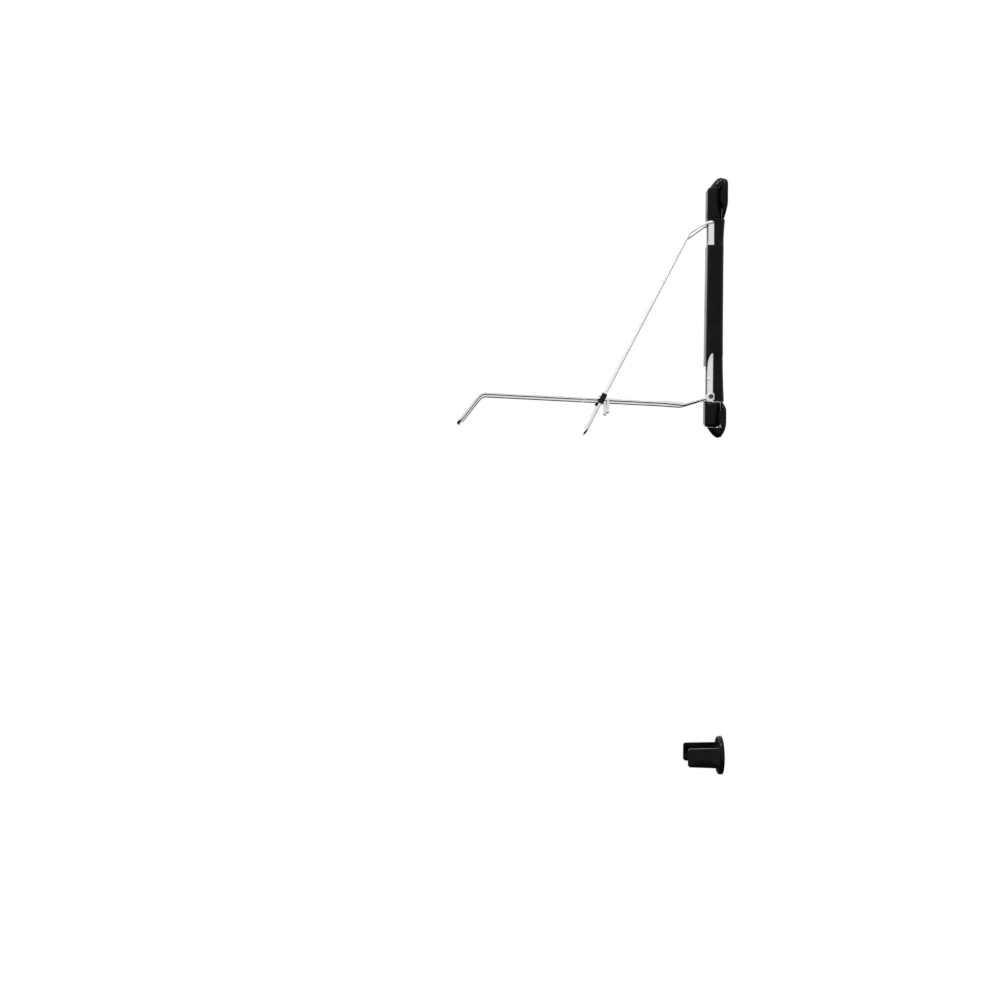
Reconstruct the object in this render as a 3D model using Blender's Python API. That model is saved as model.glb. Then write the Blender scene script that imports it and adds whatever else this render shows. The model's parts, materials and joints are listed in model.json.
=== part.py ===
"""Bicycle wall rack: a swivelling column on two wall brackets, with two folding wire arms that
hold a front wheel, and a separate forked bracket that steadies the rear tyre.

Frame: metres, +Z up, the wall is the plane Y = 0 and the rack stands out towards -Y.
The origin is on the wall, at the middle of the lower bracket's pad.
"""
import math

import bmesh
import bpy
from mathutils import Matrix, Vector

GAP = 0.0003                       # clearance between pieces that touch

# Swivelling column
SWIVEL_Y = -0.029                  # the swivel axis stands this far off the wall
TURRET_HALF = 0.0195               # half width of the head and the foot
HEAD_FRONT, FOOT_FRONT = -0.0462, -0.0485
FOOT_BOTTOM, FOOT_TOP = -0.0222, 0.033
HEAD_BOTTOM, HEAD_TOP = 0.4756, 0.5482
CHANNEL_HALF, CHANNEL_WALL = 0.017, 0.002
CHANNEL_FRONT, CHANNEL_BACK = -0.0430, -0.0242
CHANNEL_BOTTOM, CHANNEL_TOP = 0.006, 0.504
COVER_HALF, COVER_WALL = 0.025, 0.0022
COVER_FRONT, COVER_BACK = -0.0455, -0.022
COVER_LIP, COVER_ARCH, COVER_TOP = 0.124, 0.153, 0.409
SHELL_HALF, SHELL_FRONT, SHELL_BACK = 0.020, -0.030, -0.0062
SHELL_BOTTOM, SHELL_TOP = 0.042, 0.471
CORE_HALF, CORE_BACK, SHELL_FLOOR = 0.0135, -0.0145, 0.004    # hollow behind the channel
PIN_RADIUS, BUSH_RADIUS, BUSH_FLANGE = 0.004, 0.007, 0.011
FLANGE_THICK = 0.0015
RIVET = Vector((0, -0.040, 0.0915))
RIVET_SHANK, RIVET_HEAD = 0.002, 0.0035

# Wall brackets
PAD_HALF, PAD_THICK = 0.031, 0.009
LUG_HALF = 0.021
SCREW_X = 0.024
SCREW_HEAD, SCREW_SHANK = 0.0048, 0.0025

# Lower arm
HINGE = Vector((0, -0.0345, 0.0497))
HINGE_END = Vector((0, -0.056, 0.044))
RAIL_X, RAIL_RADIUS = 0.038, 0.0045
RAIL_START = Vector((RAIL_X, -0.150, 0.034))
RAIL_TIP = Vector((RAIL_X, -0.580, 0.0525))
RAIL_HOOK = Vector((RAIL_X, -0.634, -0.017))
ROOT_X = 0.0252
PLATE_IN, PLATE_OUT, PLATE_HALF = 0.0174, 0.0204, 0.007
PLATE_SWEEP = 0.010                # the plates turn inside this radius
BOLT_RADIUS, HEX_RADIUS = 0.003, 0.00577
BOLT_HEAD_END, BOLT_END, NUT_END = 0.0249, 0.0262, 0.0254
POST_Y, POST_BOTTOM = -0.282, 0.006

# Upper arm
BAIL_HINGE = Vector((0, -0.034, 0.464))
LEG_X, LEG_RADIUS = 0.048, 0.00325
LEG_TILT = math.radians(27.2)
LEG_TOP = Vector((LEG_X, -0.09254, 0.4325))
LEG_LENGTH = 0.5306
HOOK_IN, HOOK_OUT = 0.0115, 0.0212      # the wire's ends go through the channel's sides

# Guides
GUIDE_IN, GUIDE_OUT = 0.0428, 0.0536
GUIDE_LENGTH = 0.024
GUIDE_RIVET = 0.0016

# Rear tyre bracket
TAIL_Z = -0.8055
TAIL_HALF_X, TAIL_HALF_Z, TAIL_THICK = 0.048, 0.0455, 0.010
PRONG_X, PRONG_WALL, PRONG_REACH = 0.039, 0.006, 0.0855

MATERIALS = {
    # name: base colour, roughness, metallic
    "gloss_black": ((0.012, 0.012, 0.013), 0.22, 0.0),
    "satin_black": ((0.02, 0.02, 0.021), 0.45, 0.0),
    "bright_zinc": ((0.82, 0.83, 0.84), 0.22, 1.0),
    "dark_steel": ((0.06, 0.06, 0.065), 0.38, 1.0),
    "nylon": ((0.72, 0.70, 0.64), 0.5, 0.0),
}


def clear_scene():
    for item in list(bpy.data.objects):
        bpy.data.objects.remove(item, do_unlink=True)


def material(name):
    found = bpy.data.materials.get(name)
    if found:
        return found
    colour, roughness, metallic = MATERIALS[name]
    made = bpy.data.materials.new(name)
    made.use_nodes = True
    shader = made.node_tree.nodes["Principled BSDF"]
    shader.inputs["Base Color"].default_value = (*colour, 1)
    shader.inputs["Roughness"].default_value = roughness
    shader.inputs["Metallic"].default_value = metallic
    return made


def axis_empty(name, place, parent=None):
    """An empty on a joint's axis, which the pieces of a moving body are parented to."""
    empty = bpy.data.objects.new(name, None)
    bpy.context.scene.collection.objects.link(empty)
    empty["place"] = tuple(place)
    empty.parent = parent
    empty.location = Vector(place) - (Vector(parent["place"]) if parent else Vector())
    return empty


def link(name, shape, finish, parent=None, place=None, tilt=0.0):
    """Put a bmesh in the scene. Its points are world points, unless place says where it stands."""
    centre = Vector(parent["place"]) if parent else Vector()
    if place is None:
        bmesh.ops.translate(shape, verts=shape.verts, vec=-centre)
    bmesh.ops.recalc_face_normals(shape, faces=shape.faces)
    data = bpy.data.meshes.new(name)
    shape.to_mesh(data)
    shape.free()
    item = bpy.data.objects.new(name, data)
    bpy.context.scene.collection.objects.link(item)
    if finish:
        data.materials.append(material(finish))
        data.shade_smooth()
        data.set_sharp_from_angle(angle=math.radians(35))
    item.parent = parent
    if place is not None:
        item.location = Vector(place) - centre
        item.rotation_euler = (tilt, 0, 0)
    return item


def combine(item, operation, shape):
    """Cut item with a shape, join the shape to it, or keep what they share."""
    tool = link(item.name + "_" + operation.lower(), shape, None, item.parent)
    tool.hide_render = True
    tool.display_type = "WIRE"
    change = item.modifiers.new(operation.lower(), "BOOLEAN")
    change.operation = operation
    change.solver = "EXACT"
    change.object = tool


def fillet(points, radius, closed=True, steps=4):
    """Round the corners of a path or an outline. radius is one value, or one for each corner."""
    points = [Vector(p) for p in points]
    radii = radius if isinstance(radius, (list, tuple)) else [radius] * len(points)
    path = []
    for index, corner in enumerate(points):
        at_end = not closed and index in (0, len(points) - 1)
        if at_end or radii[index] == 0:
            path.append(corner)
            continue
        back = (points[index - 1] - corner).normalized()
        ahead = (points[(index + 1) % len(points)] - corner).normalized()
        half = back.angle(ahead) / 2
        reach = radii[index] / math.tan(half)
        centre = corner + (back + ahead).normalized() * radii[index] / math.sin(half)
        start, end = corner + back * reach - centre, corner + ahead * reach - centre
        sweep = math.pi - 2 * half
        for step in range(steps + 1):
            t = step / steps
            path.append(centre + (start * math.sin((1 - t) * sweep) + end * math.sin(t * sweep))
                        / math.sin(sweep))
    return path


def mirrored(outline):
    """A half outline, drawn from the middle line to the middle line, made whole in its first axis."""
    return list(outline) + [(-p[0], p[1]) for p in reversed(outline) if abs(p[0]) > 1e-6]


def prism(outline, axis, low, high):
    """Extrude an outline along an axis. It is drawn in the other two axes, in X, Y, Z order."""
    order = {"X": lambda a, b, h: (h, a, b), "Y": lambda a, b, h: (a, h, b),
             "Z": lambda a, b, h: (a, b, h)}[axis]
    shape = bmesh.new()
    ends = [[shape.verts.new(order(p[0], p[1], height)) for p in outline] for height in (low, high)]
    shape.faces.new(ends[0])
    shape.faces.new(list(reversed(ends[1])))
    count = len(outline)
    for i in range(count):
        j = (i + 1) % count
        shape.faces.new((ends[0][i], ends[1][i], ends[1][j], ends[0][j]))
    bmesh.ops.recalc_face_normals(shape, faces=shape.faces)
    return shape


def box(low, high):
    return prism([(low[0], low[1]), (high[0], low[1]), (high[0], high[1]), (low[0], high[1])],
                 "Z", low[2], high[2])


def turned(profile, centre, axis="Z", segments=24):
    """Turn a profile of (radius, height) points, which starts and ends on the axis."""
    shape = bmesh.new()
    rings = []
    for radius, height in profile:
        if radius == 0:
            rings.append([shape.verts.new((0, 0, height))])
            continue
        rings.append([shape.verts.new((radius * math.cos(a), radius * math.sin(a), height))
                      for a in (2 * math.pi * k / segments for k in range(segments))])
    for lower, upper in zip(rings, rings[1:]):
        for i in range(segments):
            j = (i + 1) % segments
            corners = [lower[i % len(lower)], lower[j % len(lower)],
                       upper[j % len(upper)], upper[i % len(upper)]]
            shape.faces.new(list(dict.fromkeys(corners)))
    turn = {"Z": Matrix(), "X": Matrix.Rotation(math.pi / 2, 4, "Y"),
            "Y": Matrix.Rotation(math.pi / 2, 4, "X")}[axis]
    bmesh.ops.transform(shape, matrix=Matrix.Translation(centre) @ turn, verts=shape.verts)
    bmesh.ops.recalc_face_normals(shape, faces=shape.faces)
    return shape


def drum(radius, low, high, centre=(0, SWIVEL_Y, 0), axis="Z", segments=24):
    return turned([(0, low), (radius, low), (radius, high), (0, high)], centre, axis, segments)


def sleeve(bore, outer, flange, low, flange_low, high, centre, axis="Z"):
    """A flanged bush, and the bore that is cut through it."""
    shape = turned([(0, low), (outer, low), (outer, flange_low), (flange, flange_low),
                    (flange, high), (0, high)], centre, axis)
    return shape, drum(bore, min(low, high) - 0.01, max(low, high) + 0.01, centre, axis)


def rod(path, radius, sides=10):
    """A round rod along a path, with flat ends."""
    shape = bmesh.new()
    rings = []
    normal = Vector((0, 0, 1))
    for index, point in enumerate(path):
        before = path[max(index - 1, 0)]
        after = path[min(index + 1, len(path) - 1)]
        along = (after - before).normalized()
        bend = 1.0
        if 0 < index < len(path) - 1:
            bend = 1 / math.cos((point - before).angle(after - point) / 2)
        side = along.cross(normal)
        if side.length < 0.2:
            side = along.cross(Vector((0, 1, 0)))
        side.normalize()
        normal = side.cross(along).normalized()
        rings.append([shape.verts.new(point + radius * bend ** 0.5 * (
            math.cos(a) * side + math.sin(a) * normal))
            for a in (2 * math.pi * k / sides for k in range(sides))])
    shape.faces.new(list(reversed(rings[0])))
    shape.faces.new(rings[-1])
    for lower, upper in zip(rings, rings[1:]):
        for i in range(sides):
            j = (i + 1) % sides
            shape.faces.new((lower[i], lower[j], upper[j], upper[i]))
    return shape


def flipped(points):
    """The same points on the other side of the middle plane, in reverse order."""
    return [Vector((-p.x, p.y, p.z)) for p in reversed(points)]


# ---------------------------------------------------------------- outlines

def turret_outline(face):
    """Plan of the head and foot: half round behind the axis, a rounded square in front."""
    arc = [(TURRET_HALF * math.cos(a), SWIVEL_Y + TURRET_HALF * math.sin(a))
           for a in (math.pi * k / 16 for k in range(17))]
    front = fillet([(-TURRET_HALF, SWIVEL_Y), (-TURRET_HALF, face), (TURRET_HALF, face),
                    (TURRET_HALF, SWIVEL_Y)], [0, 0.0055, 0.0055, 0], steps=4)
    return arc + [(p.x, p.y) for p in front[1:-1]]


def channel_outline():
    out, inner = CHANNEL_HALF, CHANNEL_HALF - CHANNEL_WALL
    web = CHANNEL_BACK - CHANNEL_WALL
    return fillet([(-out, CHANNEL_FRONT), (-inner, CHANNEL_FRONT), (-inner, web), (inner, web),
                   (inner, CHANNEL_FRONT), (out, CHANNEL_FRONT), (out, CHANNEL_BACK),
                   (-out, CHANNEL_BACK)], [0, 0, 0.0008, 0.0008, 0, 0, 0.0025, 0.0025], steps=3)


def cover_outline(half, front, back, corner):
    return fillet([(-half, back), (-half, front), (half, front), (half, back)],
                  [0, corner, corner, 0], steps=6)


def shell_back(z):
    """The column's back is straight for most of its height and bows towards the wall at its ends."""
    middle, low_bow, high_bow, power = 0.330, 0.0040, 0.0033, 4.4
    if z < middle:
        return SHELL_BACK + low_bow * ((middle - z) / (middle - SHELL_BOTTOM)) ** power
    return SHELL_BACK + high_bow * ((z - middle) / (SHELL_TOP - middle)) ** power


# ---------------------------------------------------------------- wall side

def wall_bracket(name, side_profile, face_outline, pin_low, pin_high, screw_z):
    """A moulded bracket: what its side profile, its face and its plan have in common."""
    item = link(name, prism(side_profile, "X", -PAD_HALF - 0.001, PAD_HALF + 0.001), "gloss_black")
    combine(item, "INTERSECT", prism(face_outline, "Y", -0.06, 0.01))
    plan = fillet([(-PAD_HALF - 0.002, 0.001), (-PAD_HALF - 0.002, -PAD_THICK),
                   (-LUG_HALF - 0.004, -PAD_THICK), (-LUG_HALF, -PAD_THICK - 0.004),
                   (-LUG_HALF, -0.047), (LUG_HALF, -0.047), (LUG_HALF, -PAD_THICK - 0.004),
                   (LUG_HALF + 0.004, -PAD_THICK), (PAD_HALF + 0.002, -PAD_THICK),
                   (PAD_HALF + 0.002, 0.001)],
                  [0, 0, 0.002, 0.002, 0.0195, 0.0195, 0.002, 0.002, 0, 0], steps=6)
    combine(item, "INTERSECT", prism(plan, "Z", -0.1, 0.6))
    combine(item, "DIFFERENCE", drum(PIN_RADIUS + GAP, pin_low, pin_high))
    for x in (-SCREW_X, SCREW_X):
        combine(item, "DIFFERENCE", screw_shape((x, 0, screw_z), PAD_THICK, GAP))
    return item


def screw_shape(place, depth, grow=0.0):
    """A countersunk screw that points at the wall; grown, it is its own hole."""
    head, shank = SCREW_HEAD + grow, SCREW_SHANK + grow
    top = 0.001 if grow else -0.0008
    tail = -depth - 0.001 if grow else -depth + 0.0003
    return turned([(0, depth + top), (head, depth + top), (head, depth - 0.0012 - grow),
                   (shank, depth - 0.0042 - grow), (shank, depth + tail), (0, depth + tail)],
                  place, "Y", 16)


def build_wall_side():
    top_profile = [(-PAD_THICK, 0.4715), (-0.0063, 0.4715), (-0.0052, 0.480), (-0.0035, 0.490),
                   (-0.0013, 0.500), (0, 0.508), (0, 0.556), (-0.0012, 0.562), (-0.004, 0.568),
                   (-0.008, 0.5722), (-0.014, 0.5738), (-0.019, 0.5717), (-0.024, 0.5668),
                   (-0.033, 0.5552), (-0.0375, 0.5500), (-PAD_THICK, 0.5500)]
    top_face = mirrored(fillet([(0, 0.4715), (0.012, 0.4715), (PAD_HALF, 0.502), (PAD_HALF, 0.5735),
                                (0, 0.5745)], [0, 0.005, 0.012, 0.026, 0], steps=6))
    wall_bracket("top_bracket", top_profile, top_face, 0.5, 0.5577, 0.537)
    low_profile = [(-PAD_THICK, 0.038), (-PAD_THICK, -0.0243), (-0.0395, -0.0243),
                   (-0.0335, -0.0312), (-0.0285, -0.0375), (-0.0235, -0.0431), (-0.019, -0.0466),
                   (-0.014, -0.0478), (-0.0099, -0.0457), (-0.006, -0.0370), (-0.0025, -0.0256),
                   (0, -0.014), (0, 0.022), (-0.0012, 0.030), (-0.0034, 0.038)]
    low_face = mirrored(fillet([(0, 0.038), (0.014, 0.038), (PAD_HALF, 0.020), (PAD_HALF, -0.0476),
                                (0, -0.0485)], [0, 0.005, 0.010, 0.026, 0], steps=6))
    wall_bracket("bottom_bracket", low_profile, low_face, -0.0342, 0.03, 0.0)
    link("top_pivot_pin", drum(PIN_RADIUS, 0.531, 0.5572, segments=20), "dark_steel")
    link("bottom_pivot_pin", drum(PIN_RADIUS, -0.0338, -0.006, segments=20), "dark_steel")
    number = 1
    for z in (0.537, 0.0):
        for x in (-SCREW_X, SCREW_X):
            link(f"wall_screw_{number}", screw_shape((x, 0, z), PAD_THICK), "dark_steel")
            number += 1


def build_tail_bracket():
    oval = [(TAIL_HALF_X * math.cos(a), TAIL_Z + TAIL_HALF_Z * math.sin(a))
            for a in (2 * math.pi * k / 40 for k in range(40))]
    item = link("tail_bracket", prism(oval, "Y", -TAIL_THICK, 0), "gloss_black")
    tip, root = 0.0215, 0.0236
    prong = fillet([(-0.006, TAIL_Z + root), (-PRONG_REACH, TAIL_Z + tip),
                    (-PRONG_REACH, TAIL_Z - tip), (-0.006, TAIL_Z - root)],
                   [0, 0.005, 0.005, 0], steps=4)
    for side in (-1, 1):
        ends = sorted((side * (PRONG_X - PRONG_WALL / 2), side * (PRONG_X + PRONG_WALL / 2)))
        combine(item, "UNION", prism([(p.x, p.y) for p in prong], "X", *ends))
    for number, z in enumerate((TAIL_Z - 0.026, TAIL_Z + 0.026), 1):
        combine(item, "DIFFERENCE", screw_shape((0, 0, z), TAIL_THICK, GAP))
        link(f"tail_screw_{number}", screw_shape((0, 0, z), TAIL_THICK), "dark_steel")


# ---------------------------------------------------------------- column

def build_turret(name, low, high, rim, rim_size, face, column):
    shape = prism(turret_outline(face), "Z", low, high)
    edges = [e for e in shape.edges if all(abs(v.co.z - rim) < 1e-6 for v in e.verts)]
    bmesh.ops.bevel(shape, geom=edges, offset=rim_size, segments=4, profile=0.5, affect="EDGES")
    item = link(name, shape, "gloss_black", column)
    at_top = rim == high
    bore = (low + 0.054, high + 0.01) if at_top else (low - 0.01, low + 0.0182)
    combine(item, "DIFFERENCE", drum(BUSH_RADIUS + GAP, *bore))
    pocket = (low - 0.01, CHANNEL_TOP + GAP) if at_top else (CHANNEL_BOTTOM - GAP, high + 0.01)
    half, front, back = CHANNEL_HALF + GAP, CHANNEL_FRONT - GAP, CHANNEL_BACK + GAP
    combine(item, "DIFFERENCE", box((-half, front, pocket[0]), (half, back, pocket[1])))


def build_bush(name, sleeve_end, face, column):
    """The flange lies outside the turret and the sleeve runs into it."""
    outward = 1 if face > sleeve_end else -1
    shape, bore = sleeve(PIN_RADIUS + GAP, BUSH_RADIUS, BUSH_FLANGE, sleeve_end,
                         face + outward * GAP, face + outward * FLANGE_THICK, (0, SWIVEL_Y, 0))
    combine(link(name, shape, "nylon", column), "DIFFERENCE", bore)


def build_collar(name, low, high, face, column):
    """A band round the front of the channel, where the turret ends."""
    outer = cover_outline(TURRET_HALF - 0.0002, face + 0.0004, SHELL_FRONT - 0.0004, 0.005)
    item = link(name, prism([(p.x, p.y) for p in outer], "Z", low, high), "satin_black", column)
    half, front = CHANNEL_HALF + GAP, CHANNEL_FRONT - GAP
    combine(item, "DIFFERENCE", box((-half, front, low - 0.01), (half, 0, high + 0.01)))


def build_channel(column):
    shape = prism([(p.x, p.y) for p in channel_outline()], "Z", CHANNEL_BOTTOM, CHANNEL_TOP)
    item = link("column_channel", shape, "bright_zinc", column)
    for centre, radius in ((HINGE, BOLT_RADIUS + GAP), (BAIL_HINGE, LEG_RADIUS + 0.0004),
                           (RIVET, RIVET_SHANK + GAP)):
        combine(item, "DIFFERENCE", drum(radius, -0.03, 0.03, centre, "X", 16))


def build_cover(column):
    outer = cover_outline(COVER_HALF, COVER_FRONT, COVER_BACK, 0.0090)
    inner = cover_outline(COVER_HALF - COVER_WALL, COVER_FRONT + COVER_WALL, COVER_BACK + 0.01, 0.0066)
    item = link("front_cover", prism([(p.x, p.y) for p in outer], "Z", COVER_LIP, COVER_TOP),
                "gloss_black", column)
    combine(item, "DIFFERENCE", prism([(p.x, p.y) for p in inner], "Z", COVER_LIP - 0.01,
                                      COVER_TOP + 0.01))
    arch = fillet([(COVER_FRONT - 0.01, COVER_LIP - 0.01), (COVER_FRONT + 0.0012, COVER_LIP - 0.01),
                   (COVER_FRONT + 0.0050, COVER_LIP + 0.016), (-0.0345, COVER_ARCH),
                   (-0.01, COVER_ARCH), (-0.01, COVER_LIP - 0.02), (COVER_FRONT - 0.01, COVER_LIP - 0.02)],
                  [0, 0, 0.020, 0.007, 0, 0, 0], steps=5)
    combine(item, "DIFFERENCE", prism([(p.x, p.y) for p in arch], "X", -0.03, 0.03))


def build_shell(column):
    """The back cover: its sides hug the channel, and behind the front cover it is full width."""
    narrow = cover_outline(SHELL_HALF, -0.0022, SHELL_FRONT, 0.012)
    item = link("rear_shell", prism([(p.x, p.y) for p in narrow], "Z", SHELL_BOTTOM, SHELL_TOP),
                "satin_black", column)
    wide = cover_outline(COVER_HALF, SHELL_BACK, COVER_BACK + GAP, 0.014)
    combine(item, "UNION", prism([(p.x, p.y) for p in wide], "Z", COVER_ARCH + 0.001, COVER_TOP))
    levels = [SHELL_BOTTOM + (SHELL_TOP - SHELL_BOTTOM) * k / 14 for k in range(15)]
    levels[0], levels[-1] = SHELL_BOTTOM - 0.001, SHELL_TOP + 0.001
    side = [(-0.04, levels[0])] + [(shell_back(z), z) for z in levels] + [(-0.04, levels[-1])]
    combine(item, "INTERSECT", prism(side, "X", -0.03, 0.03))
    half = CHANNEL_HALF + GAP
    combine(item, "DIFFERENCE", box((-half, -0.04, 0), (half, CHANNEL_BACK + GAP, 0.5)))
    combine(item, "DIFFERENCE", box((-CORE_HALF, -0.03, SHELL_BOTTOM + SHELL_FLOOR),
                                    (CORE_HALF, CORE_BACK, SHELL_TOP - SHELL_FLOOR)))
    combine(item, "DIFFERENCE", drum(PLATE_SWEEP, -0.03, 0.03, HINGE, "X"))


def build_hinge_hardware(column):
    """The block inside the channel that the hinge bolt goes through, the bolt, nut and rivets."""
    block = fillet([(-0.0425, 0.0375), (-0.0268, 0.0375), (-0.0268, 0.105), (-0.0425, 0.105)],
                   0.003, steps=3)
    item = link("hinge_block", prism([(p.x, p.y) for p in block], "X", -0.0146, 0.0146),
                "satin_black", column)
    combine(item, "DIFFERENCE", drum(BOLT_RADIUS + GAP, -0.03, 0.03, HINGE, "X", 16))
    combine(item, "DIFFERENCE", drum(RIVET_SHANK + GAP, -0.03, 0.03, RIVET, "X", 16))
    hexagon = [(HINGE.y + HEX_RADIUS * math.cos(a), HINGE.z + HEX_RADIUS * math.sin(a))
               for a in (math.pi / 3 * k for k in range(6))]
    bolt = link("hinge_bolt", prism(hexagon, "X", PLATE_OUT + GAP, BOLT_HEAD_END), "dark_steel",
                column)
    combine(bolt, "UNION", drum(BOLT_RADIUS, -BOLT_END, PLATE_OUT + 0.0017, HINGE, "X", 16))
    nut = link("hinge_nut", prism(hexagon, "X", -NUT_END, -PLATE_OUT - GAP), "dark_steel", column)
    combine(nut, "DIFFERENCE", drum(BOLT_RADIUS + GAP, -0.03, 0.0, HINGE, "X", 16))
    seat = CHANNEL_HALF + GAP
    for name, side in (("channel_rivet_left", -1), ("channel_rivet_right", 1)):
        profile = [(0, 0.006), (RIVET_SHANK, 0.006), (RIVET_SHANK, seat), (RIVET_HEAD, seat),
                   (RIVET_HEAD - 0.0001, seat + 0.0008), (0.0022, seat + 0.0016), (0, seat + 0.0019)]
        profile = [(r, side * h) for r, h in profile]
        link(name, turned(profile, RIVET, "X", 16), "bright_zinc", column)


# ---------------------------------------------------------------- arms

def leg_direction():
    return Vector((0, -math.sin(LEG_TILT), -math.cos(LEG_TILT)))


def guide_point():
    """Where the legs of the upper arm cross the rails of the lower arm."""
    down = leg_direction()
    slope = (RAIL_TIP.z - RAIL_START.z) / (RAIL_START.y - RAIL_TIP.y)
    start = LEG_TOP.z - RAIL_START.z - (RAIL_START.y - LEG_TOP.y) * slope
    reach = start / (-down.z - down.y * slope)
    crossing = LEG_TOP + down * reach
    return Vector((0, crossing.y, crossing.z))


def build_lower_arm(arm, crossing):
    half = [Vector((ROOT_X, -0.0425, 0.0472)), Vector((ROOT_X, -0.054, 0.0443)),
            Vector((0.029, -0.101, 0.030)), RAIL_START, RAIL_TIP, RAIL_HOOK]
    path = fillet(half + flipped(half), [0, 0.02, 0.03, 0.04, 0.018, 0.018,
                                         0.018, 0.018, 0.04, 0.03, 0.02, 0], closed=False, steps=5)
    loop = link("lower_loop", rod(path, RAIL_RADIUS, 12), "bright_zinc", arm)
    combine(loop, "DIFFERENCE", drum(GUIDE_RIVET + GAP, -0.05, 0.05, crossing, "X", 12))
    along = (HINGE_END - HINGE).normalized()
    across = Vector((0, -along.z, along.y)) * PLATE_HALF
    plate = []
    for k in range(9):
        a = math.pi * (k / 8 + 0.5)
        plate.append(HINGE + along * PLATE_HALF * math.cos(a) + across * math.sin(a))
    plate += [HINGE_END - across * 0.8, HINGE_END + across * 0.8]
    for name, side in (("hinge_plate_left", -1), ("hinge_plate_right", 1)):
        ends = sorted((side * PLATE_IN, side * PLATE_OUT))
        item = link(name, prism([(p.y, p.z) for p in plate], "X", *ends), "bright_zinc", arm)
        combine(item, "DIFFERENCE", drum(BOLT_RADIUS + GAP, -0.05, 0.05, HINGE, "X", 16))
    slope = (RAIL_TIP - RAIL_START).normalized()
    rail_z = RAIL_START.z + (POST_Y - RAIL_START.y) * slope.z / slope.y
    for name, side in (("stop_post_left", -1), ("stop_post_right", 1)):
        x = side * RAIL_X
        profile = [(0, POST_BOTTOM), (0.0022, POST_BOTTOM + 0.0005), (0.0039, POST_BOTTOM + 0.0022),
                   (0.0045, POST_BOTTOM + 0.0045), (0.0045, rail_z - 0.0026), (0, rail_z - 0.0026)]
        post = link(name, turned(profile, (x, POST_Y, 0), "Z", 20), "bright_zinc", arm)
        middle = Vector((x, POST_Y, rail_z))
        cutter = rod([middle - slope * 0.02, middle + slope * 0.02], RAIL_RADIUS + GAP, 12)
        combine(post, "DIFFERENCE", cutter)
    for name, side in (("guide_rivet_left", -1), ("guide_rivet_right", 1)):
        profile = [(0, 0.0316), (0.0024, 0.0318), (0.0032, 0.0326), (0.0032, 0.0330),
                   (GUIDE_RIVET, 0.0331), (GUIDE_RIVET, 0.0443), (0, 0.0443)]
        profile = [(r, side * h) for r, h in profile]
        link(name, turned(profile, crossing, "X", 12), "dark_steel", arm)


def build_upper_arm(arm):
    end = LEG_TOP + leg_direction() * LEG_LENGTH
    half = [Vector((HOOK_IN, BAIL_HINGE.y, BAIL_HINGE.z)), Vector((HOOK_OUT, BAIL_HINGE.y, BAIL_HINGE.z)),
            Vector((HOOK_OUT + 0.001, -0.048, 0.4615)), LEG_TOP, end]
    path = fillet(half + flipped(half), [0, 0.0034, 0.012, 0.015, 0.018,
                                         0.018, 0.015, 0.012, 0.0034, 0], closed=False, steps=5)
    link("upper_loop", rod(path, LEG_RADIUS, 12), "bright_zinc", arm)


def build_guides(lower_axis, crossing):
    """Clips that are open towards the wall, so the leg can lie in them."""
    section = [(GUIDE_IN, -0.0062), (GUIDE_OUT, -0.0062), (GUIDE_OUT, 0.005), (0.0516, 0.005),
               (0.0516, -0.0037), (0.0444, -0.0037), (0.0444, 0.006), (GUIDE_IN, 0.006)]
    for name, side in (("guide_left", -1), ("guide_right", 1)):
        axis = axis_empty(name + "_axis", crossing, lower_axis)
        outline = [(side * x, y) for x, y in section]
        shape = prism(outline, "Z", -GUIDE_LENGTH / 2, GUIDE_LENGTH / 2)
        item = link(name, shape, "satin_black", axis, place=crossing, tilt=-LEG_TILT)
        combine(item, "DIFFERENCE", drum(GUIDE_RIVET + GAP, -0.047, 0.047, crossing, "X", 12))


def build():
    clear_scene()
    build_wall_side()
    build_tail_bracket()
    column = axis_empty("swivel_axis", (0, SWIVEL_Y, 0))
    build_channel(column)
    build_shell(column)
    build_cover(column)
    build_turret("head", HEAD_BOTTOM, HEAD_TOP, HEAD_TOP, 0.008, HEAD_FRONT, column)
    build_turret("foot", FOOT_BOTTOM, FOOT_TOP, FOOT_BOTTOM, 0.010, FOOT_FRONT, column)
    build_bush("top_bush", 0.5302, HEAD_TOP, column)
    build_bush("bottom_bush", -0.0048, FOOT_BOTTOM, column)
    build_collar("head_collar", 0.4695, HEAD_BOTTOM - GAP, HEAD_FRONT, column)
    build_collar("foot_collar", FOOT_TOP + GAP, 0.037, FOOT_FRONT, column)
    build_hinge_hardware(column)
    crossing = guide_point()
    lower_axis = axis_empty("lower_arm_axis", HINGE, column)
    build_lower_arm(lower_axis, crossing)
    build_upper_arm(axis_empty("upper_arm_axis", BAIL_HINGE, column))
    build_guides(lower_axis, crossing)


build()
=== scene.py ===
"""Looks of the bicycle wall rack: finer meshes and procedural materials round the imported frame.

Metres, +Z up, the wall is the plane Y = 0 and the rack stands out towards -Y.
"""
import json
import math

import bmesh
import bpy
from mathutils import Matrix, Vector


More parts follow.
